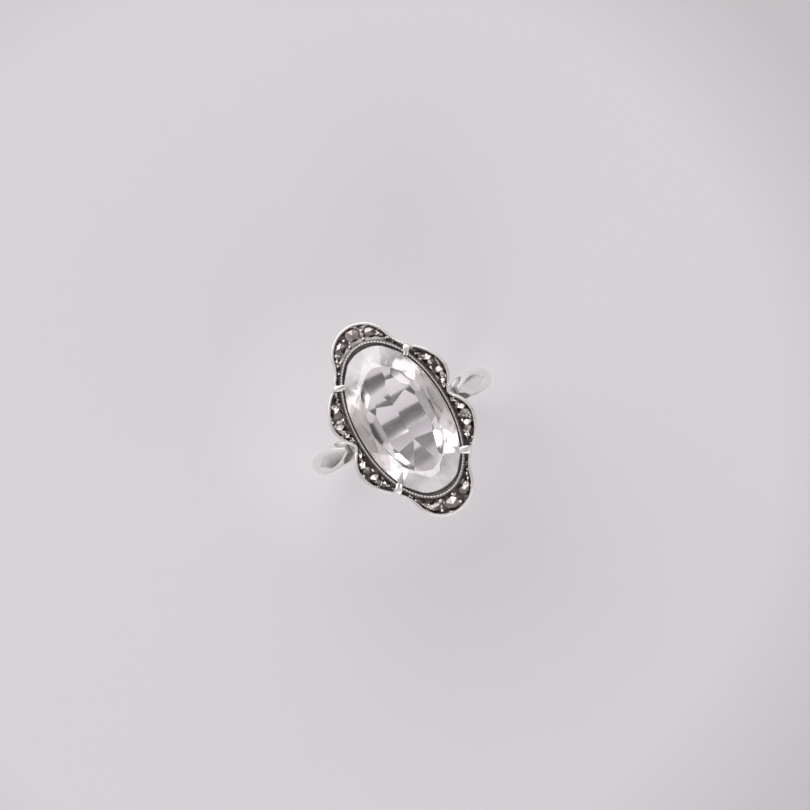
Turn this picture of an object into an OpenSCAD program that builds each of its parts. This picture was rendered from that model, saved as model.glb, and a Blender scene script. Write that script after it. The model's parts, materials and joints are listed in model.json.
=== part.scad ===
// Cocktail ring: a long oval rock crystal in a scalloped, marcasite-set silver border
// with milgrain rims, four claws, an open gallery and leaf shoulders on a plain band.
//
// Frame: the origin is the centre of the finger bore, +Y runs along the bore, and +Z
// points at the stone. All sizes are millimetres.

/* [Band] */
// Radius of the finger hole
bore_r = 8.65; // [8.4:0.05:9.0]
// Thickness of the band at its crown
band_wall = 1.1; // [1.0:0.05:1.3]
// Width of the band at the back of the finger hole
band_palm_w = 2.0; // [1.8:0.1:2.2]
// Width of the band where it meets the head
band_top_w = 2.4; // [2.2:0.1:2.6]
// Radius of the domed outer face across the band
band_dome_r = 2.6; // [2.2:0.1:4]

/* [Shoulders] */
// Length of each leaf, end to end
leaf_l = 7.4; // [7.0:0.1:7.6]
// Greatest width of each leaf
leaf_w = 2.4; // [2.0:0.1:2.4]
// Height of the leaf above the band
leaf_rise = 0.5; // [0.3:0.05:0.55]
// Width of the raised edge around each leaf
leaf_edge_w = 0.3; // [0.2:0.05:0.4]
// Depth of the carved hollow inside that edge
leaf_hollow = 0.22; // [0.1:0.02:0.26]

/* [Head] */
// Turn of the head about +Z, against the band
head_turn = 2.5; // [0:0.5:4]
// Height of the underside of the border plate above the bore axis
plate_z = 11.05; // [11.0:0.05:11.2]
// Thickness of the border plate
plate_t = 1.0; // [0.8:0.05:1.1]
// Width of the milgrain rim around the border
outer_rim_w = 0.32; // [0.26:0.02:0.36]
// Height of that rim above the plate
outer_rim_h = 0.4; // [0.3:0.05:0.5]
// Width of the milgrain rim around the stone
inner_rim_w = 0.27; // [0.2:0.01:0.28]

/* [Stone] */
// Half length of the crystal
stone_a = 7.62; // [7.5:0.02:7.7]
// Half width of the crystal
stone_b = 4.36; // [4.3:0.02:4.4]
// Depth of the pavilion below the girdle
pavilion_d = 2.75; // [2.5:0.05:2.8]
// Height of the crown above the girdle
crown_h = 1.15; // [1.0:0.05:1.4]

/* [Marcasites] */
// Depth of the seats cut in the plate
seat_d = 0.25; // [0.2:0.05:0.4]
// Play around each stone in its seat
seat_play = 0.03; // [0.02:0.01:0.04]
// Crown height of a marcasite as a share of its radius
marcasite_rise = 0.55; // [0.4:0.05:0.6]

/* [Hidden] */
$fn = 64;
far = 40;                      // longer than anything that is cut with it
sky = 15;                      // higher than the whole ring
skin = 0.01;                   // thickness of a slice that only guides a hull
band_r = bore_r + band_wall;   // outer radius of the band
full_width_z = 3;              // above this height the band keeps its full width
ground_z = plate_z + plate_t;  // top of the plate, between the stones
sharpness = 2.2;               // superellipse power of the crystal's outline
rim_sharpness = 2.05;          // the rim around it is nearly a true ellipse
table_sharpness = 2.6;         // the table is squarer
oval_n = 96;                   // points on each oval
hull_n = 16;                   // points on the ovals that guide the crystal's hull

// Leaves: each is cut from a cylinder about the bore's axis, and its middle sits at
// leaf_angle from +Z.
leaf_angle = 57;
leaf_widest = 0.44;            // where the leaf is widest, as a share of its length
leaf_neck_share = 0.34;        // its width at the neck, as a share of the greatest
leaf_steps = 18;               // points along each edge of the leaf
leaf_r = band_r + leaf_rise;
leaf_base_r = band_r - 0.3;    // the band's dome falls this far at the leaf's edges

// Necks: side view of the scroll between a shoulder and the side notch of the border.
neck_w = 1.1;
neck_profile = [
    [4.0, 8.0], [6.15, 7.0], [6.3, 8.05], [5.85, 8.75], [5.5, 9.35],
    [5.3, 10.1], [5.28, plate_z], [4.62, plate_z], [4.62, 10.0], [4.5, 9.3]
];

// Collet: a wall around the crystal with a bearing ledge under its girdle.
collet_top = ground_z + 0.4;
ledge_z = collet_top - 0.35;
rim_in = [stone_b + 0.16, stone_a + 0.43];
rim_out = rim_in + [inner_rim_w, inner_rim_w];
ledge_in = [stone_b - 0.33, stone_a - 0.32];
inner_rim_top = collet_top + 0.25;

// Crystal: girdle band, table and keel.
girdle_z = collet_top + 0.08;
girdle_half = 0.12;
table_size = [3.0, 5.5];
tier_size = [2.5, 5.0];
tier_drop = 1.65;              // from the girdle to the tier's lower edge
keel_half_l = 1.9;
keel_z = girdle_z - pavilion_d;

// Gallery: a saddle-shaped rail that stays just clear of the finger, and its posts,
// each in side view, outwards from the centre.
rail_out = [4.45, 6.9];
rail_in = [3.65, 6.1];
rail_top = 9.55;
rail_clearance = 0.3;
post_w = 0.9;
post_profile = [[6.5, 9.05], [7.2, 9.0], [8.1, 9.55], [9.3, plate_z], [8.4, plate_z], [7.4, 9.95]];

// Claws: each leans out from the rail, stands in a notch and bends over the girdle.
claw_tip = [3.22, 5.28];
claw_angle = 32;
claw_w = 0.8;
claw_tip_w = 0.5;
claw_stand = 0.78;             // distance from the tip to the inside of the upright
claw_reach = 1.2;              // distance from the tip to its outside
claw_play = 0.03;
claw_over = inner_rim_top;     // underside of the hooked end
claw_profile = [
    [-0.35, 8.7], [0.3, 8.7], [claw_reach, plate_z], [claw_reach, claw_over - 0.1],
    [0.95, claw_over + 0.18], [0.45, claw_over + 0.34], [0, claw_over + 0.3],
    [0, claw_over + 0.12], [0.2, claw_over], [claw_stand, claw_over],
    [claw_stand, plate_z - 0.15], [-0.1, 9.5], [-0.35, 9.5]
];

// Corners of one quadrant of the border, in the order that its arcs join them.
end_top = [0, 10.4];
end_mid = [2.23, 9.47];
end_foot = [3.1, 7.9];
flare_mid = [3.4, 7.12];
flare_foot = [3.85, 6.45];
claw_notch = [4.1, 6.0];
lobe_mid = [5.72, 4.42];
lobe_tip = [6.4, 2.6];
lobe_low = [6.14, 1.35];
lobe_foot = [5.5, 0.4];
side_notch = [5.3, 0];

// Marcasites as [x, y, radius]: the large middle one, one side of an end and one lobe.
middle_stone = [0, 9.38, 0.62];
end_stones = [
    [1.70, 8.80, 0.53],
    [2.42, 8.12, 0.29],
    [2.82, 7.42, 0.25],
    [3.09, 6.78, 0.19]
];
lobe_stones = [
    [4.50, 4.58, 0.32],
    [5.14, 3.68, 0.51],
    [5.50, 2.10, 0.49],
    [5.28, 1.12, 0.29],
    [5.03, 0.58, 0.18]
];
lobe_names = ["upper_right", "upper_left", "lower_right", "lower_left"];
lobe_signs = [[1, 1], [-1, 1], [1, -1], [-1, -1]];
rim_names = ["right", "left", "upper", "lower"];
end_names = ["upper_end", "lower_end"];
end_signs = [1, -1];

// Every stone of one end, left to right.
function end_row(sign) = concat(
    [for (i = [len(end_stones) - 1:-1:0])
        [-end_stones[i][0], sign * end_stones[i][1], end_stones[i][2]]],
    [[0, sign * middle_stone[1], middle_stone[2]]],
    [for (s = end_stones) [s[0], sign * s[1], s[2]]]
);
function lobe_row(signs) = [for (s = lobe_stones) [signs[0] * s[0], signs[1] * s[1], s[2]]];

// ---- outlines -------------------------------------------------------------

// Centre of the circle through three points.
function circle_centre(p, q, r) = let (
    d = 2 * (p[0] * (q[1] - r[1]) + q[0] * (r[1] - p[1]) + r[0] * (p[1] - q[1]))
) [
    ((p * p) * (q[1] - r[1]) + (q * q) * (r[1] - p[1]) + (r * r) * (p[1] - q[1])) / d,
    ((p * p) * (r[0] - q[0]) + (q * q) * (p[0] - r[0]) + (r * r) * (q[0] - p[0])) / d
];

// The arc from p through q to r in steps, without its last point.
function arc(p, q, r, steps) = let (
    c = circle_centre(p, q, r),
    radius = norm(p - c),
    a0 = atan2(p[1] - c[1], p[0] - c[0]),
    a1 = atan2(r[1] - c[1], r[0] - c[0]),
    turn = a1 - a0 > 180 ? a1 - a0 - 360 : a1 - a0 < -180 ? a1 - a0 + 360 : a1 - a0
) [for (i = [0:steps - 1]) let (a = a0 + turn * i / steps) c + radius * [cos(a), sin(a)]];

// One quadrant of the border, from the end's crest to the side notch.
quadrant = concat(
    arc(end_top, end_mid, end_foot, 12),
    arc(end_foot, flare_mid, flare_foot, 4),
    [flare_foot],
    arc(claw_notch, lobe_mid, lobe_tip, 9),
    arc(lobe_tip, lobe_low, lobe_foot, 5),
    [lobe_foot]
);

// The quadrant turned into the whole scalloped outline, clockwise.
function reversed(list) = [for (i = [len(list) - 1:-1:0]) list[i]];
border_outline = concat(
    quadrant,
    [side_notch],
    reversed([for (p = quadrant) [p[0], -p[1]]]),
    [for (i = [1:len(quadrant) - 1]) [-quadrant[i][0], -quadrant[i][1]]],
    [[-side_notch[0], 0]],
    reversed([for (i = [1:len(quadrant) - 1]) [-quadrant[i][0], quadrant[i][1]]])
);

module oval(size, power = rim_sharpness, n = oval_n) {
    polygon([for (i = [0:n - 1]) let (a = 360 * i / n, c = cos(a), s = sin(a)) [
        size[0] * sign(c) * pow(abs(c), 2 / power),
        size[1] * sign(s) * pow(abs(s), 2 / power)
    ]]);
}

// ---- shared solids --------------------------------------------------------

module in_head() {
    rotate([0, 0, head_turn]) children();
}

module slab(z0, z1) {
    translate([0, 0, z0]) linear_extrude(z1 - z0) children();
}

module bore_cylinder(r) {
    rotate([90, 0, 0]) cylinder(h = far, r = r, center = true, $fn = 180);
}

// Moves a shape of the upper right quadrant to any other quadrant.
module quadrant_of(signs) {
    mirror([signs[0] < 0 ? 1 : 0, 0, 0]) mirror([0, signs[1] < 0 ? 1 : 0, 0]) children();
}

// Puts the claw's own frame, x outwards from its tip, in the upper right quadrant.
module at_claw() {
    translate(claw_tip) rotate(claw_angle) children();
}

// The notches that the claws stand in.
module claw_notches() {
    for (signs = lobe_signs) quadrant_of(signs) at_claw()
        translate([claw_stand - claw_play, -claw_w / 2 - claw_play])
            square([far, claw_w + 2 * claw_play]);
}

// ---- band and shoulders ---------------------------------------------------

module rail_block() {
    in_head() slab(0, sky) oval(rail_out);
}

module band_hoop() {
    rotate([90, 0, 0]) rotate_extrude($fn = 180) intersection() {
        translate([bore_r, -band_top_w / 2]) square([band_wall, band_top_w]);
        translate([band_r - band_dome_r, 0]) circle(r = band_dome_r);
    }
}

// Seen from the side the band narrows from the head to the palm.
module band_taper() {
    palm = band_palm_w / 2;
    top = band_top_w / 2;
    rotate([90, 0, 90]) linear_extrude(far, center = true)
        polygon([
            [-palm, -sky], [palm, -sky], [top, full_width_z],
            [top, sky], [-top, sky], [-top, full_width_z]
        ]);
}

module shank() {
    color("silver") difference() {
        intersection() {
            band_hoop();
            band_taper();
        }
        rail_block();
    }
}

// Half width of the leaf at u, which runs from 0 at the neck to 1 at the round end.
function leaf_half(u) = leaf_w / 2 * (u < leaf_widest
    ? leaf_neck_share + (1 - leaf_neck_share) * sin(90 * u / leaf_widest)
    : sqrt(1 - pow((u - leaf_widest) / (1 - leaf_widest), 2)));

module leaf_outline(inset) {
    l = leaf_l - 2 * inset;
    half = [for (i = [0:leaf_steps]) let (u = (1 - cos(180 * i / leaf_steps)) / 2)
        [l * (u - 0.5), max(2 * skin, leaf_half(u) - inset)]];
    polygon(concat(half, reversed([for (p = half) [p[0], -p[1]]])));
}

// An upright block with the leaf's plan, turned to where the leaf sits.
module leaf_block(side, inset) {
    mirror([side < 0 ? 1 : 0, 0, 0])
        rotate([0, leaf_angle, 0]) slab(bore_r / 2, sky) leaf_outline(inset);
}

module leaf_shoulder(side) {
    color("gainsboro") difference() {
        intersection() {
            bore_cylinder(leaf_r);
            leaf_block(side, 0);
        }
        band_hoop();
        bore_cylinder(leaf_base_r);
        difference() {
            leaf_block(side, leaf_edge_w);
            bore_cylinder(leaf_r - leaf_hollow);
        }
    }
}

// A scrolled neck between the band and the underside of the border's side notch.
module neck(side) {
    color("dimgray") difference() {
        rotate([90, 0, 0]) linear_extrude(neck_w, center = true)
            polygon([for (p = neck_profile) [side * p[0], p[1]]]);
        bore_cylinder(band_r);
        rail_block();
        intersection() {
            bore_cylinder(leaf_r + skin);
            leaf_block(side, 0);
        }
    }
}

// ---- gallery --------------------------------------------------------------

module gallery_rail() {
    color("silver") difference() {
        in_head() difference() {
            slab(bore_r / 2, rail_top) oval(rail_out);
            slab(0, sky) oval(rail_in);
        }
        bore_cylinder(bore_r + rail_clearance);
    }
}

module gallery_post(sign) {
    color("silver") in_head() difference() {
        rotate([90, 0, 90]) linear_extrude(post_w, center = true)
            polygon([for (p = post_profile) [sign * p[0], p[1]]]);
        slab(0, rail_top) oval(rail_out);
    }
}

// ---- border ---------------------------------------------------------------

module all_seats() {
    rows = concat(
        [for (sign = end_signs) end_row(sign)],
        [for (signs = lobe_signs) lobe_row(signs)]
    );
    for (row = rows) for (s = row)
        translate([s[0], s[1], ground_z - seat_d])
            cylinder(h = 2 * seat_d, r = s[2] + seat_play, $fn = 32);
}

module border_plate() {
    color("dimgray") in_head() difference() {
        slab(plate_z, ground_z) difference() {
            offset(delta = -outer_rim_w) polygon(border_outline);
            oval(rim_out);
            claw_notches();
        }
        all_seats();
    }
}

// The claws part the rim into two ends and two sides. side is [x, y] of the way it faces.
module outer_milgrain_rim(side) {
    color("gainsboro") in_head() slab(plate_z, ground_z + outer_rim_h) intersection() {
        difference() {
            polygon(border_outline);
            offset(delta = -outer_rim_w) polygon(border_outline);
            claw_notches();
        }
        polygon([[0, 0], far_corner(side, 1), far_corner(side, -1)]);
    }
}

// A point far out on the line from the centre through a claw.
function far_corner(side, hand) = let (c = 3 * claw_notch) side[0] != 0
    ? [side[0] * c[0], hand * c[1]]
    : [hand * c[0], side[1] * c[1]];

module collet() {
    color("dimgray") in_head() difference() {
        slab(plate_z, collet_top) oval(rim_out);
        slab(0, sky) oval(ledge_in, sharpness);
        slab(ledge_z, sky) oval(rim_in);
    }
}

module inner_milgrain_rim() {
    color("gainsboro") in_head() slab(collet_top, inner_rim_top) difference() {
        oval(rim_out);
        oval(rim_in);
    }
}

// ---- claws ----------------------------------------------------------------

// Plan of a claw's hooked end: it narrows from the upright to the tip.
module claw_plan() {
    w = claw_w / 2;
    t = claw_tip_w / 2;
    polygon([[0, -t], [claw_stand, -w], [far, -w], [far, w], [claw_stand, w], [0, t]]);
}

module claw(signs) {
    color("white") in_head() quadrant_of(signs) difference() {
        at_claw() intersection() {
            rotate([90, 0, 0]) linear_extrude(claw_w, center = true) polygon(claw_profile);
            union() {
                slab(plate_z, sky) claw_plan();
                slab(0, plate_z) square([far, claw_w], center = true);
            }
        }
        slab(0, rail_top) oval(rail_out);
    }
}

// ---- stones ---------------------------------------------------------------

module thin_slice(z, size, power) {
    slab(z, z + skin) oval(size, power, hull_n);
}

module centre_crystal() {
    color("white", 0.6) in_head() hull() {
        thin_slice(girdle_z + crown_h - skin, table_size, table_sharpness);
        slab(girdle_z - girdle_half, girdle_z + girdle_half) oval([stone_b, stone_a], sharpness, 64);
        thin_slice(girdle_z - tier_drop, tier_size, sharpness);
        translate([-skin, -keel_half_l, keel_z]) cube([2 * skin, 2 * keel_half_l, skin]);
    }
}

// A rose cut: a round girdle under six triangular facets.
module marcasite(s) {
    color("dimgray") in_head() translate([s[0], s[1], ground_z - seat_d]) intersection() {
        cylinder(h = seat_d + s[2], r = s[2], $fn = 32);
        union() {
            cylinder(h = seat_d, r = 2 * s[2], $fn = 32);
            translate([0, 0, seat_d])
                cylinder(h = marcasite_rise * s[2], r1 = s[2] / cos(30), r2 = 0, $fn = 6);
        }
    }
}

// ---- assembly -------------------------------------------------------------

shank();
leaf_shoulder(1);  // leaf_shoulder_right
leaf_shoulder(-1);  // leaf_shoulder_left
neck(1);  // neck_right
neck(-1);  // neck_left
gallery_rail();
gallery_post(1);  // gallery_post_upper
gallery_post(-1);  // gallery_post_lower
border_plate();
outer_milgrain_rim([1, 0]);  // outer_milgrain_rim_right
outer_milgrain_rim([-1, 0]);  // outer_milgrain_rim_left
outer_milgrain_rim([0, 1]);  // outer_milgrain_rim_upper
outer_milgrain_rim([0, -1]);  // outer_milgrain_rim_lower
collet();
inner_milgrain_rim();
for (k = [0:3]) {
    claw(lobe_signs[k]);
}
centre_crystal();
for (k = [0:1]) for (i = [1:9]) {
    marcasite(end_row(end_signs[k])[i - 1]);
}
for (k = [0:3]) for (i = [1:5]) {
    marcasite(lobe_row(lobe_signs[k])[i - 1]);
}
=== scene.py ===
"""Looks of the cocktail ring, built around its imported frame.

Shapes are worked out in millimetres and written to meshes in metres. The head's axes are
the row's axes turned about +Z by HEAD_TURN; the crystal and its border are made in them.
"""

import json
import math
import random

import bmesh
import bpy
import numpy as np
from mathutils import Matrix, Vector


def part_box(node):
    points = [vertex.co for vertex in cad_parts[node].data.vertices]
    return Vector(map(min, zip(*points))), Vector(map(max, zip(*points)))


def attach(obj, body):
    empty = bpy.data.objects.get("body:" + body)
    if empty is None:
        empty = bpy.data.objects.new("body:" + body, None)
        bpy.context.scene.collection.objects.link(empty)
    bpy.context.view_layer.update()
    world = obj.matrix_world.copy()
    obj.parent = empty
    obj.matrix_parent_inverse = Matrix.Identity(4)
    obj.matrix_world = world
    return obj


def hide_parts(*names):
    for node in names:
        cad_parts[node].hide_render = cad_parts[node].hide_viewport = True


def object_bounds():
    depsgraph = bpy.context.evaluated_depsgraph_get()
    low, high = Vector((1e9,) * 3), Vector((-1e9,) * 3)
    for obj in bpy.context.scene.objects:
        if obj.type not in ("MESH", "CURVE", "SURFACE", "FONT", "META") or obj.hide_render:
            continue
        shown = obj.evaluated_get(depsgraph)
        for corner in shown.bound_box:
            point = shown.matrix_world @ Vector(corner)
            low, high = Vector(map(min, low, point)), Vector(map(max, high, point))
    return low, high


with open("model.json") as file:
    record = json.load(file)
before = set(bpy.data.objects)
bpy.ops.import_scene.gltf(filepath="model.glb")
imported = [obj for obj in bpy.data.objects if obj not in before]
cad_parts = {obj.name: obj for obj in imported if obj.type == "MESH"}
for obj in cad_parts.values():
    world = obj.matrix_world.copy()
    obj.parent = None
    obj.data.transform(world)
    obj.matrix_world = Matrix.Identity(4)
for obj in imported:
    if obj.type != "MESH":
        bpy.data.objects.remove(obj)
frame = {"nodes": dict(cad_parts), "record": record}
cad_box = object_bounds()

MM = 0.001
HEAD_TURN = math.radians(2.5)
chance = random.Random(11)


# ---- places, read from the frame ----

HEAD_COS, HEAD_SIN = math.cos(HEAD_TURN), math.sin(HEAD_TURN)
TURN = np.array([[HEAD_COS, -HEAD_SIN, 0], [HEAD_SIN, HEAD_COS, 0], [0, 0, 1]])


def row_box(node):
    """Lowest and highest corner of a CAD node in the row's axes, in millimetres."""
    low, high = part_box(node)
    return np.array(low) / MM, np.array(high) / MM


def head_box(node):
    """Lowest and highest corner of a CAD node in the head's axes, in millimetres."""
    points = np.array([v.co for v in frame["nodes"][node].data.vertices]) / MM @ TURN
    return points.min(0), points.max(0)


BORE_R = frame["record"]["mounts"][0]["dims"]["r_mm"]
BAND_R = row_box("shank")[1][0]
BAND_HALF_W = row_box("shank")[1][1]
PLATE_LOW = head_box("border_plate")[0][2]
GROUND = head_box("border_plate")[1][2]
RIM_TOP = head_box("outer_milgrain_rim_upper")[1][2]
COLLET_TOP = head_box("collet")[1][2]
INNER_TOP = head_box("inner_milgrain_rim")[1][2]
RIM_OUT = head_box("inner_milgrain_rim")[1][:2]
RAIL_OUT = head_box("gallery_rail")[1][:2]
RAIL_TOP = head_box("gallery_rail")[1][2]
STONE_LOW, STONE_HIGH = head_box("centre_crystal")
STONE = STONE_HIGH[:2]

# Sizes that the CAD source also holds.
PALM_HALF_W = 1.0
LEAF_R = 10.25
RIM_W = 0.32
INNER_RIM_W = 0.27
RIM_IN = RIM_OUT - INNER_RIM_W
RAIL_W = 0.8
RAIL_CLEARANCE = 0.3
STONE_POWER = 2.2
RIM_POWER = 2.05
GIRDLE_Z = COLLET_TOP + 0.08
CLAW_TIP = np.array([3.22, 5.28])
CLAW_ANGLE = math.radians(32)
CLAW_HALF_W = 0.4

# Corners of one quadrant of the border, and the three-point arcs that join them.
END_TOP, END_MID, END_FOOT = (0, 10.4), (2.23, 9.47), (3.1, 7.9)
FLARE_MID, FLARE_FOOT, CLAW_NOTCH = (3.4, 7.12), (3.85, 6.45), (4.1, 6.0)
LOBE_MID, LOBE_TIP, LOBE_LOW = (5.72, 4.42), (6.4, 2.6), (6.14, 1.35)
LOBE_FOOT, SIDE_NOTCH = (5.5, 0.4), (5.3, 0)
QUADRANT_ARCS = [
    (END_TOP, END_MID, END_FOOT),
    (END_FOOT, FLARE_MID, FLARE_FOOT),
    (CLAW_NOTCH, LOBE_MID, LOBE_TIP),
    (LOBE_TIP, LOBE_LOW, LOBE_FOOT),
]
# The signs of X and Y in each quadrant.
QUADRANTS = {"upper_right": (1, 1), "upper_left": (-1, 1), "lower_right": (1, -1), "lower_left": (-1, -1)}


# ---- lines in plan ----


def arc(p, q, r, steps=40):
    """Points on the arc from p through q to r."""
    p, q, r = (np.array(x, float) for x in (p, q, r))
    a = np.array([q - p, r - p]) * 2
    centre = np.linalg.solve(a, [q @ q - p @ p, r @ r - p @ p])
    start = math.atan2(*(p - centre)[::-1])
    turn = math.atan2(*(r - centre)[::-1]) - start
    turn = (turn + math.pi) % (2 * math.pi) - math.pi
    angles = start + turn * np.linspace(0, 1, steps + 1)
    radius = np.linalg.norm(p - centre)
    return centre + radius * np.column_stack([np.cos(angles), np.sin(angles)])


def even(points, step, multiple=1):
    """A closed line's points, spaced evenly about step apart."""
    closed = np.vstack([points, points[:1]])
    along = np.concatenate([[0], np.cumsum(np.linalg.norm(np.diff(closed, axis=0), axis=1))])
    count = multiple * max(1, round(along[-1] / step / multiple))
    places = np.arange(count) * along[-1] / count
    return np.column_stack([np.interp(places, along, closed[:, k]) for k in (0, 1)])


def outward(points):
    """Unit normals of a closed line about the origin, pointing away from it."""
    tangent = np.roll(points, -1, axis=0) - np.roll(points, 1, axis=0)
    tangent /= np.linalg.norm(tangent, axis=1)[:, None]
    normal = np.column_stack([tangent[:, 1], -tangent[:, 0]])
    return normal * np.sign((normal * points).sum(1))[:, None]


def superellipse(power, count):
    """Points round a superellipse of half size 1; power 2 is a circle, and more is squarer."""
    a = np.arange(count) * 2 * math.pi / count
    return np.column_stack([np.sign(x) * np.abs(x) ** (2 / power) for x in (np.cos(a), np.sin(a))])


def oval(size, power):
    """Points round an oval with the given half sizes."""
    return size * superellipse(power, 720)


def oval_radius(points, size, power):
    """How far the oval lies from the centre, in the direction of each point."""
    unit = points / np.linalg.norm(points, axis=1)[:, None]
    return ((np.abs(unit) / size) ** power).sum(1) ** (-1 / power)


def border_outline(step, multiple=1):
    """The border's scalloped outline, clockwise from the upper end's crest."""
    quadrant = np.vstack([arc(*corners) for corners in QUADRANT_ARCS])
    right = np.vstack([quadrant, [SIDE_NOTCH], quadrant[::-1] * (1, -1)])
    return even(np.vstack([right, right[::-1] * (-1, 1)]), step, multiple)


def in_claw_notch(points):
    """True for the points that lie where a claw crosses the border."""
    local = np.abs(points) - CLAW_TIP
    c, s = math.cos(CLAW_ANGLE), math.sin(CLAW_ANGLE)
    along, across = local @ (c, s), local @ (-s, c)
    return (np.abs(across) < CLAW_HALF_W) & (along > 0)


# ---- meshes ----


class Shape:
    """Vertices in millimetres with a value each for how bright the silver is, and faces with a material
    number.

    The value is 1 where the metal is rubbed bright and 0 where it stays black; in places it also holds
    painted shade and painted highlights."""

    def __init__(self):
        self.verts, self.faces, self.wear, self.kinds = [], [], [], []

    def add(self, verts, faces, wear=1.0):
        start = len(self.verts)
        verts = np.asarray(verts, float).reshape(-1, 3)
        self.verts.extend(map(tuple, verts))
        self.wear.extend(np.broadcast_to(np.asarray(wear, float).ravel(), (len(verts),)))
        self.faces.extend(tuple(start + i for i in face) for face in faces)
        self.kinds.extend([0] * len(faces))
        return self

    def sweep(self, rings, wear=1.0, closed=False):
        """Joins rings of points, each a closed loop, into a skin with flat ends."""
        rings = np.asarray(rings, float)
        rows, cols = rings.shape[:2]
        faces = []
        for i in range(rows if closed else rows - 1):
            here, there = i * cols, (i + 1) % rows * cols
            for j in range(cols):
                k = (j + 1) % cols
                faces.append((here + j, here + k, there + k, there + j))
        if not closed:
            faces.append(tuple(range(cols))[::-1])
            faces.append(tuple(range((rows - 1) * cols, rows * cols)))
        if np.ndim(wear):
            wear = np.broadcast_to(wear, (rows, cols))
        return self.add(rings.reshape(-1, 3), faces, wear)


def make_piece(name, shape, materials, replaced, in_head=True, smooth=35):
    """A mesh object on the body, in metres, that stands for the replaced CAD nodes.

    smooth is the angle in degrees up to which edges are shaded soft; 0 is flat facets."""
    verts = np.array(shape.verts)
    if in_head:
        verts = verts @ TURN.T
    mesh = bpy.data.meshes.new(name)
    mesh.from_pydata((verts * MM).tolist(), [], shape.faces)
    bm = bmesh.new()
    bm.from_mesh(mesh)
    bmesh.ops.recalc_face_normals(bm, faces=bm.faces)
    bm.to_mesh(mesh)
    bm.free()
    # The vertex value for the silver: rubbing and oxide, with painted shade and painted highlights in
    # places.
    mesh.attributes.new("wear", "FLOAT", "POINT").data.foreach_set("value", shape.wear)
    for material in materials:
        mesh.materials.append(material)
    mesh.polygons.foreach_set("material_index", shape.kinds)
    mesh.polygons.foreach_set("use_smooth", [smooth > 0] * len(mesh.polygons))
    if smooth > 0:
        mesh.set_sharp_from_angle(angle=math.radians(smooth))
    piece = bpy.data.objects.new(name, mesh)
    bpy.context.scene.collection.objects.link(piece)
    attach(piece, "root")
    if replaced:
        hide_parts(*replaced)
    return piece


def rim_rings(path, normals, sections):
    """Rings of a rim: at each place a section of (outwards, height) points."""
    plan = path[:, None, :] + normals[:, None, :] * sections[:, :, :1]
    return np.concatenate([plan, sections[:, :, 1:]], axis=2)


def smooth_step(x, low, high):
    """0 below low, 1 above high and a soft curve between them."""
    t = np.clip((x - low) / (high - low), 0, 1)
    return t * t * (3 - 2 * t)


def through(points, count):
    """A smooth line of count points through a few given points (Catmull-Rom)."""
    p = np.asarray(points, float)
    p = np.vstack([2 * p[0] - p[1], p, 2 * p[-1] - p[-2]])
    places = np.linspace(0, len(p) - 3 - 1e-9, count)
    i, t = places.astype(int), (places % 1)[:, None]
    a, b, c, d = p[i], p[i + 1], p[i + 2], p[i + 3]
    bend, twist = 2 * a - 5 * b + 4 * c - d, 3 * b - a - 3 * c + d
    return 0.5 * (2 * b + (c - a) * t + bend * t**2 + twist * t**3)


# ---- materials ----


def colour_ramp(tree, source, stops):
    """A colour ramp's output. Each stop is a position with a grey value or an RGB colour."""
    ramp = tree.nodes.new("ShaderNodeValToRGB")
    elements = ramp.color_ramp.elements
    while len(elements) < len(stops):
        elements.new(0.5)
    for element, (position, value) in zip(elements, stops):
        element.position = position
        element.color = (*value, 1) if np.ndim(value) else (value, value, value, 1)
    tree.links.new(source, ramp.inputs["Fac"])
    return ramp.outputs["Color"]


class Nodes:
    """A material's node tree. Its calls take and return the nodes' output sockets."""

    def __init__(self, name):
        self.material = bpy.data.materials.new(name)
        self.material.use_nodes = True
        self.tree = self.material.node_tree
        self.tree.nodes.clear()
        self.shader = self.tree.nodes.new("ShaderNodeBsdfPrincipled")
        output = self.tree.nodes.new("ShaderNodeOutputMaterial")
        self.tree.links.new(self.shader.outputs["BSDF"], output.inputs["Surface"])
        self.place = self.tree.nodes.new("ShaderNodeTexCoord").outputs["Object"]

    def add(self, kind, source, entry, **settings):
        """A node that takes source at its entry."""
        node = self.tree.nodes.new(kind)
        for key, value in settings.items():
            setattr(node, key, value)
        self.tree.links.new(source, node.inputs[entry])
        return node

    def join(self, source, entry):
        """Lets source drive one of the shader's sockets."""
        self.tree.links.new(source, self.shader.inputs[entry])

    def set(self, **values):
        """Values for the shader's own sockets, with _ for a space in a socket's name."""
        for key, value in values.items():
            self.shader.inputs[key.replace("_", " ")].default_value = value

    def noise(self, scale, detail=3.0, stretch=(1, 1, 1), distortion=0.0):
        """Noise with scale features per metre."""
        mapping = self.add("ShaderNodeMapping", self.place, "Vector")
        mapping.inputs["Scale"].default_value = stretch
        noise = self.add("ShaderNodeTexNoise", mapping.outputs["Vector"], "Vector")
        noise.inputs["Scale"].default_value = scale
        noise.inputs["Detail"].default_value = detail
        noise.inputs["Distortion"].default_value = distortion
        return noise.outputs["Fac"]

    def ramp(self, source, stops):
        return colour_ramp(self.tree, source, stops)

    def math(self, operation, a, b, clamp=False):
        """a is a socket; b is a socket or a number."""
        node = self.add("ShaderNodeMath", a, 0, operation=operation, use_clamp=clamp)
        if isinstance(b, bpy.types.NodeSocket):
            self.tree.links.new(b, node.inputs[1])
        else:
            node.inputs[1].default_value = b
        return node.outputs["Value"]

    def bump(self, height, distance, under=None):
        """Bumps distance metres high, on top of another bump if under is given."""
        bump = self.add("ShaderNodeBump", height, "Height")
        bump.inputs["Distance"].default_value = distance
        if under:
            self.tree.links.new(under, bump.inputs["Normal"])
        return bump.outputs["Normal"]


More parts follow.
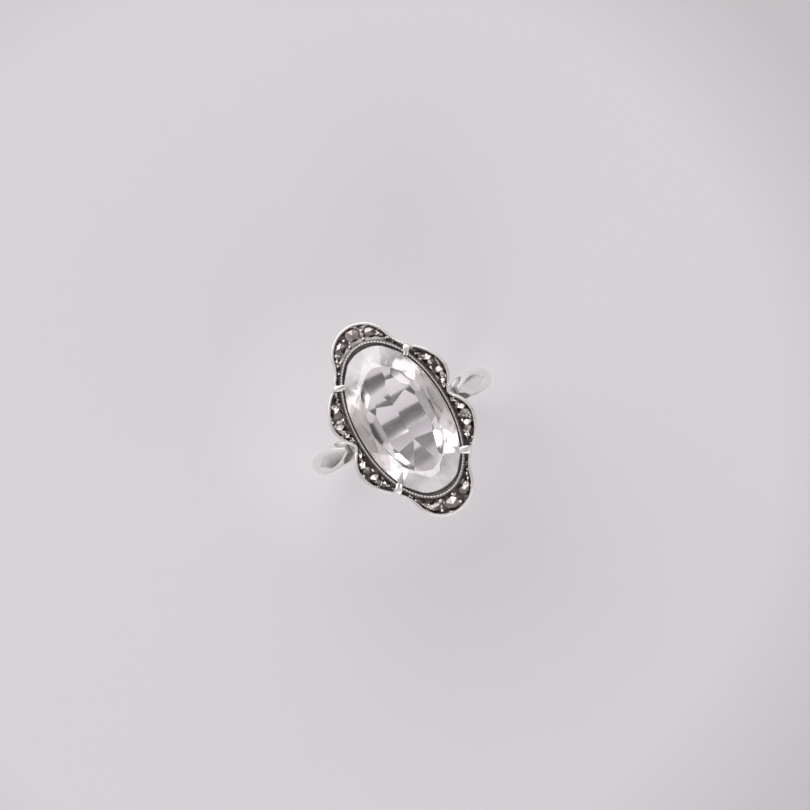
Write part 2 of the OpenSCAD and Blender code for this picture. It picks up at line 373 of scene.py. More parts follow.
def silver(name, bright, tarnish, rough, black_rough, patchy, patch=1600, pitting=5e-6):
    """Silver that is bright where it is rubbed and black in the hollows, going by a vertex value that in
    places also holds painted shade and painted highlights.

    patchy is how much the wear wanders, patch the wandering's scale and pitting in metres."""
    n = Nodes(name)
    attribute = n.tree.nodes.new("ShaderNodeAttribute")
    attribute.attribute_name = "wear"
    wander = n.math("MULTIPLY", n.math("SUBTRACT", n.noise(patch, 4), 0.5), patchy)
    # This value also carries the painted shade and painted highlights put into the vertex value.
    worn = n.math("ADD", attribute.outputs["Fac"], wander, clamp=True)
    between = [0.5 * (a + b) for a, b in zip(bright, tarnish)]
    n.join(n.ramp(worn, [(0.08, tarnish), (0.5, between), (0.9, bright)]), "Base Color")
    n.set(Metallic=1.0)
    rough_by_wear = n.ramp(worn, [(0.1, black_rough), (0.85, rough)])
    smears = n.math("MULTIPLY", n.noise(900, 5, distortion=0.6), 0.16)
    smeared = n.math("ADD", rough_by_wear, smears)
    n.join(n.math("SUBTRACT", smeared, 0.06, clamp=True), "Roughness")
    scratches = n.bump(n.noise(5200, 4, stretch=(1, 0.12, 0.4)), 6e-6)
    n.join(n.bump(n.noise(9000, 2), pitting, under=scratches), "Normal")
    return n.material


QUARTZ_IOR = 1.544


def polish_marks(n, rough_low, rough_high):
    """Roughness that wanders between two values, and faint marks of the polishing wheel."""
    n.join(n.ramp(n.noise(1400, 4), [(0.4, rough_low), (0.8, rough_high)]), "Roughness")
    n.join(n.bump(n.noise(700, 2, stretch=(1, 0.2, 1)), 1.2e-6), "Normal")


def rock_crystal(name, rough_low, rough_high):
    """Quartz with a faint cloud and polish marks."""
    n = Nodes(name)
    n.set(Transmission_Weight=1.0, IOR=QUARTZ_IOR)
    cloud = n.noise(260, 3, distortion=0.8)
    n.join(n.ramp(cloud, [(0.35, (1.0, 0.99, 1.0)), (0.75, (0.985, 0.965, 0.985))]), "Base Color")
    polish_marks(n, rough_low, rough_high)
    return n.material


def hazed_crystal(name, rough_low, rough_high, clear):
    """Quartz under a worn crown: warm at the sides, milky white towards both ends.

    clear is the share of light let through at the sides."""
    n = Nodes(name)
    n.set(IOR=QUARTZ_IOR)
    split = n.add("ShaderNodeSeparateXYZ", n.place, "Vector")
    from_middle = n.math("ABSOLUTE", split.outputs["Y"], 0)
    to_end = n.math("MULTIPLY", from_middle, 1 / (8 * MM))
    drift = n.math("SUBTRACT", n.noise(420, 4, distortion=0.8), 0.5)
    place = n.math("ADD", to_end, n.math("MULTIPLY", drift, 0.6))
    warm, pale, milky = (0.975, 0.90, 0.88), (0.985, 0.935, 0.93), (1.0, 0.975, 0.98)
    n.join(n.ramp(place, [(0.2, warm), (0.5, pale), (0.75, milky)]), "Base Color")
    let_through = [(0.25, clear), (0.55, clear - 0.08), (0.8, clear - 0.42)]
    n.join(n.ramp(place, let_through), "Transmission Weight")
    polish_marks(n, rough_low, rough_high)
    return n.material


def frosted_girdle():
    """The crystal's ground edge."""
    n = Nodes("crystal_girdle")
    n.set(Transmission_Weight=0.75, IOR=QUARTZ_IOR, Base_Color=(0.93, 0.93, 0.94, 1))
    grain = n.noise(9000, 3)
    n.join(n.ramp(grain, [(0.3, 0.3), (0.7, 0.55)]), "Roughness")
    n.join(n.bump(grain, 8e-6), "Normal")
    return n.material


def marcasite_material(name, shade):
    """Brown-grey pyrite with a mirror polish and fine pits; shade is how light its facets are, and on the
    darker and lighter copies it is painted shade and painted light.
    """
    n = Nodes(name)
    n.set(Metallic=1.0)
    brown = shade * np.array([1.08, 0.975, 0.93])
    patches = n.noise(1500, 4, distortion=0.4)
    n.join(n.ramp(patches, [(0.3, 0.7 * brown), (0.6, 1.1 * brown)]), "Base Color")
    n.join(n.ramp(n.noise(3100, 5), [(0.3, 0.07), (0.75, 0.22)]), "Roughness")
    lines = n.bump(n.noise(4200, 3, stretch=(1, 0.25, 1)), 8e-6)
    n.join(n.bump(n.noise(12000, 2), 4e-6, under=lines), "Normal")
    return n.material


# Painted light on the floor: the card's lightness by distance from the object.
FLOOR_PAINTED_LIGHT_SPREAD = 70 * MM
FLOOR_PAINTED_LIGHT_STOPS = [(0.12, 0.76), (0.27, 0.665), (0.68, 0.665), (0.92, 0.55)]


def floor_material():
    """Pale card with painted light: palest under the object, offsetting its shadow, reaching a little
    further to its -X and +Y side, and painted darker far out.
    """
    n = Nodes("pale_floor_painted_light")
    n.set(Roughness=0.85)
    length = n.add("ShaderNodeVectorMath", n.place, 0, operation="LENGTH")
    side = n.add("ShaderNodeVectorMath", n.place, 0, operation="DOT_PRODUCT")
    side.inputs[1].default_value = (0.16, -0.085, 0)
    away = n.math("ADD", length.outputs["Value"], side.outputs["Value"])
    tint = np.array([1, 0.966, 0.994])
    stops = [(at, pale * tint) for at, pale in FLOOR_PAINTED_LIGHT_STOPS]
    n.join(n.ramp(n.math("MULTIPLY", away, 1 / FLOOR_PAINTED_LIGHT_SPREAD), stops), "Base Color")
    return n.material


BRIGHT = (0.95, 0.93, 0.91)
BLACK = (0.085, 0.070, 0.068)
DULL = (0.70, 0.67, 0.65)
CLAW_BRIGHT = (0.95, 0.92, 0.90)
polished_silver = silver("polished_silver", BRIGHT, (0.14, 0.13, 0.125), 0.16, 0.4, 0.3)
carved_silver = silver("carved_silver", BRIGHT, (0.20, 0.19, 0.18), 0.36, 0.45, 0.3)
milgrain_silver = silver("milgrain_silver", BRIGHT, BLACK, 0.16, 0.42, 0.35, patch=2600)
claw_silver = silver("claw_silver", CLAW_BRIGHT, (0.16, 0.14, 0.135), 0.26, 0.4, 0.45)
oxidised_silver = silver("oxidised_silver", DULL, BLACK, 0.24, 0.5, 0.45, patch=4200, pitting=12.5e-6)
crystal_clear = rock_crystal("rock_crystal", 0.0, 0.012)
crystal_back = rock_crystal("rock_crystal_back", 0.08, 0.12)
crystal_hazed = hazed_crystal("rock_crystal_hazed", 0.03, 0.08, 0.82)
crystal_worn = hazed_crystal("rock_crystal_worn", 0.0, 0.04, 0.93)
crystal_girdle = frosted_girdle()
# Marcasite material numbers: plain, painted shade, painted light.
PLAIN, SHADED, LIT = 0, 1, 2
marcasites = [
    marcasite_material("marcasite", 0.36),
    marcasite_material("marcasite_painted_shade", 0.15),
    marcasite_material("marcasite_painted_light", 0.78),
]


# ---- camera, light and floor ----

# Width of the view at the head's height, and the head's centre from the view's, to its right
# and up.
VIEW_WIDTH = 77.4
HEAD_IN_VIEW = (-0.262, -1.356)
CAMERA_DISTANCE = 250
CAMERA_LEAN = (-0.014, -0.020)
IMAGE_TURN = math.radians(-28.4)
SENSOR = 36

# The room's light by height, from the horizon up, and by side, from -Y to +Y.
HEIGHTS = [(0.0, 1.0), (0.25, 1.05), (0.55, 1.0), (0.72, 0.95), (0.86, 0.97), (1.0, 0.97)]
ROOM_BY_HEIGHT = [(at, (light, 0.985 * light, light)) for at, light in HEIGHTS]
ROOM_BY_SIDE = [
    (0.0, 1.3), (0.15, 1.2), (0.325, 0.52), (0.5, 0.41), (0.675, 0.74), (0.85, 1.65), (1.0, 1.75)
]


def make_camera():
    """Looks down on the head, leaning a little towards its lower left."""
    back = Vector((*CAMERA_LEAN, 1)).normalized()
    right = Vector((math.cos(IMAGE_TURN), math.sin(IMAGE_TURN), 0))
    right = (right - back * right.dot(back)).normalized()
    up = back.cross(right)
    aim = Vector((0, 0, RIM_TOP)) - right * HEAD_IN_VIEW[0] - up * HEAD_IN_VIEW[1]
    data = bpy.data.cameras.new("camera")
    data.sensor_width = SENSOR
    data.lens = SENSOR * CAMERA_DISTANCE / VIEW_WIDTH
    data.clip_start, data.clip_end = 0.01, 20
    camera = bpy.data.objects.new("camera", data)
    camera.matrix_world = Matrix((right, up, back)).transposed().to_4x4()
    camera.location = (aim + back * CAMERA_DISTANCE) * MM
    bpy.context.scene.collection.objects.link(camera)
    bpy.context.scene.camera = camera


def make_world():
    """A pale room: bright towards +Y, a little less towards -Y, and dim between them."""
    world = bpy.data.worlds.new("studio")
    world.use_nodes = True
    bpy.context.scene.world = world
    tree = world.node_tree
    place = tree.nodes.new("ShaderNodeTexCoord")
    split = tree.nodes.new("ShaderNodeSeparateXYZ")
    tree.links.new(place.outputs["Generated"], split.inputs[0])
    height = colour_ramp(tree, split.outputs["Z"], ROOM_BY_HEIGHT)
    shift = tree.nodes.new("ShaderNodeMath")
    shift.operation = "MULTIPLY_ADD"
    shift.inputs[1].default_value, shift.inputs[2].default_value = 0.5, 0.5
    tree.links.new(split.outputs["Y"], shift.inputs[0])
    side = colour_ramp(tree, shift.outputs[0], ROOM_BY_SIDE)
    both = tree.nodes.new("ShaderNodeVectorMath")
    both.operation = "MULTIPLY"
    tree.links.new(height, both.inputs[0])
    tree.links.new(side, both.inputs[1])
    tree.links.new(both.outputs[0], tree.nodes["Background"].inputs["Color"])
    tree.nodes["Background"].inputs["Strength"].default_value = 1.0


def area_light(name, azimuth, elevation, distance, size, power, colour=(1, 1, 1)):
    """A soft square light aimed at the origin, in metres and degrees.

    Azimuth is from +X towards +Y."""
    a, e = math.radians(azimuth), math.radians(elevation)
    way = Vector((math.cos(a) * math.cos(e), math.sin(a) * math.cos(e), math.sin(e)))
    data = bpy.data.lights.new(name, "AREA")
    data.shape, data.size, data.energy, data.color = "SQUARE", size, power, colour
    light = bpy.data.objects.new(name, data)
    light.location = way * distance
    light.rotation_mode = "QUATERNION"
    light.rotation_quaternion = way.to_track_quat("Z", "Y")
    bpy.context.scene.collection.objects.link(light)


def make_floor():
    """A wide pale floor at the height of the band's lowest point."""
    half, z = 1.5, cad_box[0][2]
    mesh = bpy.data.meshes.new("floor")
    corners = [(-half, -half, z), (half, -half, z), (half, half, z), (-half, half, z)]
    mesh.from_pydata(corners, [], [(0, 1, 2, 3)])
    mesh.materials.append(floor_material())
    floor = bpy.data.objects.new("floor", mesh)
    bpy.context.scene.collection.objects.link(floor)


make_camera()
make_world()
area_light("key", 92, 42, 0.6, 0.5, 0.6)
area_light("fill", -122, 44, 0.7, 0.26, 0.3, (1, 0.95, 0.9))
make_floor()
bpy.context.scene.view_settings.view_transform = "Standard"


# ---- band, shoulders and necks ----


def polar(angle, radius, y):
    """Points in the band's plane: angle from +Z towards +X."""
    return np.stack(np.broadcast_arrays(radius * np.sin(angle), y, radius * np.cos(angle)), axis=-1)


# The band's inside bears on the finger at its middle and falls back towards its edges, and
# its flat sides begin at BAND_SIDE_R.
BAND_FALL_BACK = 0.17
BAND_CORNER = 0.09
BAND_SIDE_R = BORE_R + 0.33
# By the necks the band has a share of its width. Angles are in degrees from the head.
NECK_BAND_SHARE = 0.45
NARROW_TO, FULL_FROM = 45, 110


def band_section(half_w):
    """The band's section as (radius, y) points: domed outside, and softly domed inside."""
    dome_r = 2.6
    y = np.linspace(-1, 1, 15) * (half_w - 0.05)
    outer = np.column_stack([BAND_R - dome_r + np.sqrt(dome_r**2 - y**2), y])
    edge = outer[-1, 0] - 0.07
    side = [(edge, half_w), ((edge + BORE_R) / 2, half_w), (BAND_SIDE_R, half_w)]
    inner_y = np.linspace(1, -1, 13) * (half_w - BAND_CORNER)
    inner = np.column_stack([BORE_R + BAND_FALL_BACK * (inner_y / half_w) ** 2, inner_y])
    other = [(r, -y) for r, y in side[::-1]]
    return np.vstack([outer, side, inner, other])


def make_shank():
    """The hoop from one side of the gallery rail to the other, under the finger."""
    foot = math.asin(RAIL_OUT[0] / BAND_R) - 0.03
    full_width_z, count = 3.0, 240
    rings = []
    for angle in np.linspace(foot, 2 * math.pi - foot, count):
        share = np.clip((BAND_R * math.cos(angle) + BAND_R) / (BAND_R + full_width_z), 0, 1)
        half_w = PALM_HALF_W + (BAND_HALF_W - PALM_HALF_W) * share
        from_head = math.degrees(min(angle, 2 * math.pi - angle))
        half_w *= NECK_BAND_SHARE + (1 - NECK_BAND_SHARE) * smooth_step(from_head, NARROW_TO, FULL_FROM)
        uneven = 0.012 * (1 + math.sin(5 * angle + 1))
        section = band_section(half_w - uneven)
        rings.append(polar(angle, section[:, 0], section[:, 1]))
    inside = section[:, 0] < BAND_SIDE_R
    across = np.clip(0.5 - 0.5 * section[:, 1] / half_w, 0, 1)
    # Painted shade: the band's inside is painted black along its +Y edge and lighter towards its -Y edge,
    # while its outside and sides stay bright.
    shape = Shape().sweep(rings, np.where(inside, 0.95 * across**1.6 - 0.05, 1.0))
    make_piece("shank_band", shape, [polished_silver], ["shank"], in_head=False)


LEAF_L = 7.4
LEAF_HALF_W = 1.2
LEAF_WIDEST = 0.44
LEAF_NECK_SHARE = 0.34
LEAF_ANGLE = math.radians(57)
LEAF_LOW_R = BAND_R - 0.3
LEAF_THICK_RIM, LEAF_THIN_RIM = 0.52, 0.34


def leaf_half(u):
    """Half width of the leaf; u runs from 0 at the neck to 1 at the round end."""
    swell = np.sin(math.pi / 2 * np.minimum(u / LEAF_WIDEST, 1))
    near = LEAF_NECK_SHARE + (1 - LEAF_NECK_SHARE) * swell
    far = np.sqrt(np.clip(1 - ((u - LEAF_WIDEST) / (1 - LEAF_WIDEST)) ** 2, 0, 1))
    return LEAF_HALF_W * np.where(u < LEAF_WIDEST, near, far)


def leaf_wear(u, v, down, hollow, lean):
    """Painted shade on a leaf's upper side: dark where its hollow is deep, and darker along its -Y edge."""
    if lean > 0:
        shade = 0.22 + 0.75 * down**1.6 * np.exp(-(((u - 0.34) / 0.26) ** 2))
    else:
        shade = 0.10 + 0.85 * np.exp(-((down / 0.20) ** 2)) * np.exp(-(((u - 0.36) / 0.18) ** 2))
    shaded_edge = 0.35 * smooth_step(-v, 0.75, 1.0) * (1 - smooth_step(u, 0.75, 0.95))
    return 1 - shade * hollow - shaded_edge


def make_leaf(name, side, lean):
    """A spoon-shaped leaf: a bright crowned rim round a hollow.

    u runs along it and v across it. lean is 1 for a hollow that is deepest and has its darkest painted
    shade towards -Y, and -1 for one that is so along its +Y edge."""
    rows, cols = 130, 84
    u = ((1 - np.cos(np.linspace(0.02, 0.995, rows) * math.pi)) / 2)[:, None]
    v = np.sin(np.linspace(-1, 1, cols) * math.pi / 2)[None, :]
    half = leaf_half(u)
    y = half * v
    from_edge = half * (1 - np.abs(v))

    # The hollow's middle line, its reach to each side and its depth.
    middle = (LEAF_THIN_RIM - LEAF_THICK_RIM) / 2 - 0.06 * lean * smooth_step(u, 0.0, 0.4)
    share = np.clip((u - 0.04) / 0.70, 0, 1)
    swell = np.clip(1.25 * np.sin(math.pi * share**0.75), 0, 1) ** 0.8
    reach = np.maximum(half - (LEAF_THICK_RIM + LEAF_THIN_RIM) / 2, 0) * swell
    down = np.clip(0.5 - 0.5 * (y - middle) / np.maximum(reach, 0.03), 0, 1)
    hollow = smooth_step(reach - np.abs(y - middle), 0, 0.15)
    deep = down if lean > 0 else 1 - 0.6 * down
    depth = hollow * (0.06 + 0.24 * deep)

    # The rim is rounded off at its edge, less so at the leaf's round end, and crowned.
    round_off = 0.46 * (1 - smooth_step(from_edge, -0.04, 0.32)) ** 2
    round_off = round_off * (1 - 0.62 * smooth_step(u, 0.72, 0.93))
    crown = 0.27 * (half / LEAF_HALF_W) * v**2 * (1 - hollow) * (1 - smooth_step(u, 0.55, 0.85))

    along = LEAF_L * (u - 0.5)
    radius = LEAF_R - depth - round_off - crown
    skin = np.stack(np.broadcast_arrays(along, y, np.sqrt(radius**2 - along**2)), axis=-1)
    base = np.stack(np.broadcast_arrays(along, y, np.sqrt(LEAF_LOW_R**2 - along**2)), axis=-1)
    rings = np.concatenate([skin, base[:, ::-1][:, :: cols // 7]], axis=1)
    c, s = math.cos(LEAF_ANGLE), math.sin(LEAF_ANGLE)
    placed = rings @ np.array([[c, 0, -s], [0, 1, 0], [s, 0, c]]) * (side, 1, 1)
    wear = np.ones(rings.shape[:2])
    # The upper side gets painted shade in its hollow and along its -Y edge.
    wear[:, :cols] = leaf_wear(u, v, down, hollow, lean)
    shape = Shape().sweep(placed, wear)
    make_piece(name + "_carved", shape, [carved_silver], [name], in_head=False, smooth=50)


def tube(path, half_widths, half_depths, across, power, sides=18):
    """Rings of a bar along path. across is the way of its width.

    power is 2 for a round section and larger for a squarer one."""
    tangent = np.gradient(path, axis=0)
    tangent /= np.linalg.norm(tangent, axis=1)[:, None]
    up = np.cross(tangent, across)
    up /= np.linalg.norm(up, axis=1)[:, None]
    wide = np.cross(up, tangent)
    section = superellipse(power, sides)[None, :, :, None]
    wide, up = wide[:, None] * half_widths[:, None, None], up[:, None] * half_depths[:, None, None]
    return path[:, None] + section[:, :, 0] * wide + section[:, :, 1] * up


def make_neck(name, side):
    """The neck between a leaf and the border, with two drops and two curls beside it."""
    shape = Shape()
    count = 40
    spine = through([(5.75, 7.35), (5.72, 8.15), (5.3, 9.0), (5.0, 9.9), (4.95, 10.6), (4.95, 11.1)], count)
    path = np.column_stack([side * spine[:, 0], np.zeros(count), spine[:, 1]])
    share = np.linspace(0, 1, count)
    wide = np.interp(share, [0, 0.25, 0.5, 0.8, 1], [0.56, 0.50, 0.36, 0.30, 0.42])
    deep = np.interp(share, [0, 0.25, 0.5, 0.8, 1], [0.55, 0.46, 0.36, 0.30, 0.34])
    ribs = 0.5 + 0.5 * np.cos(share * 9 * math.pi)
    shape.sweep(tube(path, wide, deep, (0, 1, 0), power=3), (0.05 + 0.40 * ribs)[:, None])
    for hand in (-1, 1):
        drop = through([(5.35, 0.30, 9.0), (5.85, 0.52, 8.45), (6.45, 0.82, 7.75), (6.95, 1.02, 7.05)], 22)
        t = np.linspace(0, 1, 22)
        swell = 0.07 + 0.20 * np.sin(math.pi * t**1.4) ** 1.2
        # Painted light and shade: the drops on the +Y side are painted lighter than those on -Y, and each
        # is darker towards its ends.
        wear = (0.45 + 0.35 * hand) * np.sin(math.pi * t)[:, None]
        shape.sweep(tube(drop * (side, hand, 1), swell, swell * 0.8, (0, 1, 0), power=2), wear)
        curl = through([(5.2, 0.34, 9.9), (5.45, 0.42, 10.35), (5.5, 0.46, 10.75), (5.25, 0.46, 10.95)], 16)
        swell = 0.09 + 0.08 * np.linspace(0, 1, 16)
        shape.sweep(tube(curl * (side, hand, 1), swell, swell, (0, 1, 0), power=2), 0.5)
    make_piece(name + "_scroll", shape, [carved_silver], [name], in_head=False, smooth=50)


# ---- gallery ----


def make_rail():
    """The saddle-shaped oval rail under the crystal, with a groove round its outside."""
    middle = RAIL_OUT - RAIL_W / 2
    path = even(oval(middle, RIM_POWER), 0.12)
    normals = outward(path)
    rings = []
    for point, normal in zip(path, normals):
        outer, inner = (abs(point[0] + normal[0] * n) for n in (RAIL_W / 2, -RAIL_W / 2))
        low_out, low_in = (math.sqrt((BORE_R + RAIL_CLEARANCE) ** 2 - x**2) for x in (outer, inner))
        groove, nick = RAIL_TOP - 0.34, 0.09
        w, soft = RAIL_W / 2, 0.08
        section = [
            (w, low_out + soft), (w, groove - nick), (w - nick, groove), (w, groove + nick),
            (w, RAIL_TOP - soft), (w - soft, RAIL_TOP), (soft - w, RAIL_TOP),
            (-w, RAIL_TOP - soft), (-w, low_in + soft), (soft - w, low_in), (w - soft, low_out),
        ]
        rings.append([(*(point + normal * n), z) for n, z in section])
    wear = [1, 0.9, 0.2, 0.9, 1, 1, 0.8, 0.6, 0.6, 0.8, 1]
    shape = Shape().sweep(rings, np.array(wear)[None, :], closed=True)
    make_piece("gallery_rail_wire", shape, [polished_silver], ["gallery_rail"], smooth=40)


def make_post(name, sign):
    """A scrolled post from the rail out to the end of the border."""
    count = 30
    spine = through([(6.6, 9.15), (7.15, 9.2), (7.75, 9.65), (8.3, 10.35), (8.85, 11.1)], count)
    path = np.column_stack([np.zeros(count), sign * spine[:, 0], spine[:, 1]])
    share = np.linspace(0, 1, count)
    wide = 0.30 + 0.15 * np.abs(2 * share - 1) ** 1.5
    deep = np.interp(share, [0, 0.5, 1], [0.30, 0.24, 0.36])
    shape = Shape().sweep(tube(path, wide, deep, (1, 0, 0), power=3))
    make_piece(name + "_scroll", shape, [polished_silver], [name], smooth=45)


# ---- border ----

BEAD_PITCH = 0.225
INNER_BEAD_PITCH = 0.30
COLLET_RIB_PITCH = 0.19
# Places along a bead's length, and points round its section.
BEAD_STEPS = 8
BEAD_POINTS = 7


def bead_fullness(count):
    """How full a row of beads is at each place: 1 at a bead's middle, 0 between two."""
    phase = (np.arange(count) % BEAD_STEPS) / BEAD_STEPS
    return np.sqrt(np.clip(1 - (2 * phase - 1) ** 2, 0, 1))


def bead_arc(centre, radius, start, end):
    """Section points round a bead, as (outwards, height), by angle in degrees."""
    a = np.radians(np.linspace(start, end, BEAD_POINTS))
    return [(centre[0] + radius * math.cos(x), centre[1] + radius * math.sin(x)) for x in a]


def outer_rim_section(bead):
    """Section of the border's rim: wall, polished bevel, then a row of beads."""
    radius = 0.05 + 0.058 * bead
    wall = [(0, PLATE_LOW), (0, RIM_TOP - 0.36), (-0.03, RIM_TOP - 0.26), (-0.09, RIM_TOP - 0.19)]
    bevel = [(-0.145, RIM_TOP - 0.15), (-0.155, RIM_TOP - 0.19)]
    beads = bead_arc((-0.235, RIM_TOP - 0.112), radius, 10, 170)
    inner = [(-0.315, RIM_TOP - 0.2), (-RIM_W, PLATE_LOW)]
    wear = [0.9, 1, 1, 1, 1, 0.1] + [0.04 + 0.76 * bead] * BEAD_POINTS + [0.0, 0.0]
    return wall + bevel + beads + inner, wear


def make_outer_rims():
    """The four beaded rims, parted by the claws."""
    path = border_outline(BEAD_PITCH / BEAD_STEPS, BEAD_STEPS)
    normals = outward(path)
    made = [outer_rim_section(bead) for bead in bead_fullness(len(path))]
    rings = rim_rings(path, normals, np.array([m[0] for m in made]))
    wear = np.array([m[1] for m in made])
    gap = in_claw_notch(path)
    first = int(np.flatnonzero(gap)[0])
    order = np.roll(np.arange(len(path)), -first)
    breaks = np.flatnonzero(np.diff(gap[order].astype(int)))
    for start, end in zip(breaks[0::2], np.append(breaks[1::2], len(order) - 1)):
        run = order[start + 1 : end + 1]
        middle = path[run[len(run) // 2]]
        if abs(middle[1]) > abs(middle[0]):
            name = "upper" if middle[1] > 0 else "lower"
        else:
            name = "right" if middle[0] > 0 else "left"
        node = "outer_milgrain_rim_" + name
        shape = Shape().sweep(rings[run], wear[run])
        make_piece(node + "_beads", shape, [milgrain_silver], [node], smooth=60)


def inner_rim_section(bead):
    """Section of the crystal's rim, outwards from its inside: beads, then a polished slope."""
    radius = 0.04 + 0.048 * bead
    inside = [(0.0, COLLET_TOP - 0.1), (0.0, INNER_TOP - 0.12)]
    beads = bead_arc((0.085, INNER_TOP - 0.092), radius, 180, 0)
    slope = [(0.165, INNER_TOP - 0.07), (0.24, INNER_TOP - 0.10), (0.29, INNER_TOP - 0.16)]
    outside = [(0.31, INNER_TOP - 0.24), (0.31, GROUND - 0.1), (0.1, GROUND - 0.1)]
    wear = [0, 0] + [0.02 + 0.72 * bead] * BEAD_POINTS + [0.05 + 0.2 * bead, 0.2, 0.1, 0, 0, 0]
    return inside + beads + slope + outside, wear


def make_inner_rim():
    """The beaded rim round the crystal."""
    path = even(oval(RIM_IN, RIM_POWER), INNER_BEAD_PITCH / BEAD_STEPS, BEAD_STEPS)
    made = [inner_rim_section(bead) for bead in bead_fullness(len(path))]
    rings = rim_rings(path, outward(path), np.array([m[0] for m in made]))
    shape = Shape().sweep(rings, np.array([m[1] for m in made]), closed=True)
    node = "inner_milgrain_rim"
    make_piece(node + "_beads", shape, [milgrain_silver], [node], smooth=60)


def make_collet():
    """The wall round the crystal: two rows of fine ribs slope down to the girdle."""
    path = even(oval(RIM_IN, RIM_POWER), COLLET_RIB_PITCH / BEAD_STEPS, BEAD_STEPS)
    reach = np.linalg.norm(path, axis=1)
    gap = reach - oval_radius(path, STONE, STONE_POWER)
    ledge = reach - oval_radius(path, STONE - 0.33, STONE_POWER)
    rings, wear = [], []
    direction = path / reach[:, None]
    share = np.linspace(0, 1, 13)
    for point, way, bead, width, depth in zip(path, direction, bead_fullness(len(path)), gap, ledge):
        ribs = np.abs(np.sin(2 * math.pi * share)) * bead
        slope_z = INNER_TOP - 0.19 - 0.16 * share + 0.055 * ribs
        section = [(0.29, PLATE_LOW), (0.29, GROUND - 0.15), (0.02, INNER_TOP - 0.2)]
        section += list(zip(-share * (width + 0.02), slope_z))
        section += [(-width - 0.05, COLLET_TOP - 0.33), (-depth, COLLET_TOP - 0.35), (-depth, PLATE_LOW)]
        rings.append([(*(point + way * n), z) for n, z in section])
        wear.append([1, 0.3, 0] + list(0.32 * ribs * min(1.0, width / 0.3)) + [0.6, 1, 1])
    shape = Shape().sweep(rings, wear, closed=True)
    make_piece("collet_wall", shape, [oxidised_silver], ["collet"], smooth=60)


def set_stones():
    """Every marcasite as (node, x, y, radius, seat height), from the frame."""
    stones = []
    for node in sorted(frame["nodes"]):
        if node.startswith("marcasite_"):
            low, high = head_box(node)
            centre = (low + high) / 2
            stones.append((node, centre[0], centre[1], (high[1] - low[1]) / 2, low[2]))
    return stones


STONES = set_stones()


def chips(count=420):
    """Ridges left by the graver between the stones: place, direction, length and width."""
    made = []
    while len(made) < count:
        x, y = chance.uniform(-6.4, 6.4), chance.uniform(-10.2, 10.2)
        if math.hypot(x / RIM_OUT[0], y / RIM_OUT[1]) > 1.04:
            turn, length = chance.uniform(0, math.pi), chance.uniform(0.08, 0.26)
            made.append((x, y, turn, length, chance.uniform(0.06, 0.12)))
    return made


CHIPS = chips()


def ground_relief(x, y):
    """Height of the cut ground about its level, and how bright it is, with a painted highlight at the upper
    end.
    """
    near = np.full(x.shape, 9.0)
    for _, cx, cy, r, _ in STONES:
        near = np.minimum(near, np.hypot(x - cx, y - cy) - r)
    groove = 1 - smooth_step(near, 0.0, 0.06)
    waves = np.sin(5.1 * x + 3.3 * y) * np.sin(4.3 * y - 2.1 * x + 1.3)
    cuts = np.zeros(x.shape)
    for cx, cy, turn, length, width in CHIPS:
        dx, dy = x - cx, y - cy
        along = (dx * math.cos(turn) + dy * math.sin(turn)) / length
        across = (dy * math.cos(turn) - dx * math.sin(turn)) / width
        cuts = np.maximum(cuts, np.exp(-(along**2) - across**2))
    cuts *= smooth_step(near, 0.0, 0.12)

    # A painted highlight: a bright band beside the inner rim, at the upper end only.
    from_rim = np.hypot(x, y) * (1 - 1 / np.hypot(x / RIM_OUT[0], y / RIM_OUT[1]))
    ledge = (1 - smooth_step(from_rim, 0.3, 0.55)) * smooth_step(y, 6.8, 8.0)
    height = -0.05 + 0.03 * waves - 0.12 * groove + 0.10 * cuts
    bright = np.clip(0.10 + 0.14 * waves + 1.1 * cuts + 0.8 * ledge - 0.6 * groove, 0, 1)
    return height, bright


def make_plate():
    """The border's plate: a black cut ground with a sunk seat under every marcasite."""
    path = border_outline(0.07)
    edge = path - outward(path) * (RIM_W - 0.03)
    reach = np.linalg.norm(edge, axis=1)
    inner = edge / reach[:, None] * (oval_radius(edge, RIM_OUT, RIM_POWER) - 0.03)[:, None]
    share = np.linspace(0, 1, 44)[None, :, None]
    plan = edge[:, None] * (1 - share) + inner[:, None] * share
    height, bright = ground_relief(plan[..., 0], plan[..., 1])
    top = np.concatenate([plan, GROUND + height[..., None]], axis=2)
    under = plan[:, ::-1][:, [0, 14, 28, 43]]
    under_z = np.full((*under.shape[:2], 1), PLATE_LOW)
    under_z[:, 1:3] += 0.12
    rings = np.concatenate([top, np.concatenate([under, under_z], axis=2)], axis=1)
    wear = np.concatenate([bright, np.full(under.shape[:2], 0.8)], axis=1)
    shape = Shape().sweep(rings, wear, closed=True)
    node = "border_plate"
    make_piece(node + "_ground", shape, [oxidised_silver], [node], smooth=70)


# ---- grains ----


def grain_places():
    """Grains as (x, y, radius): one on each side of two neighbours of a group, touching both."""
    places = []
    for i, (node, x0, y0, r0, _) in enumerate(STONES):
        for other, x1, y1, r1, _ in STONES[i + 1 :]:
            apart = math.hypot(x1 - x0, y1 - y0)
            same_group = node[:-2] == other[:-2]
            if not same_group or apart > (r0 + r1) * 1.35:
                continue
            grain = 0.10 + 0.14 * min(r0, r1)
            reach0, reach1 = r0 + grain * 0.75, r1 + grain * 0.75
            along = (apart**2 + reach0**2 - reach1**2) / (2 * apart)
            across = math.sqrt(max(0.0, reach0**2 - along**2))
            ex, ey = (x1 - x0) / apart, (y1 - y0) / apart
            for aside in (-across, across):
                places.append((x0 + along * ex - aside * ey, y0 + along * ey + aside * ex, grain))
    return places


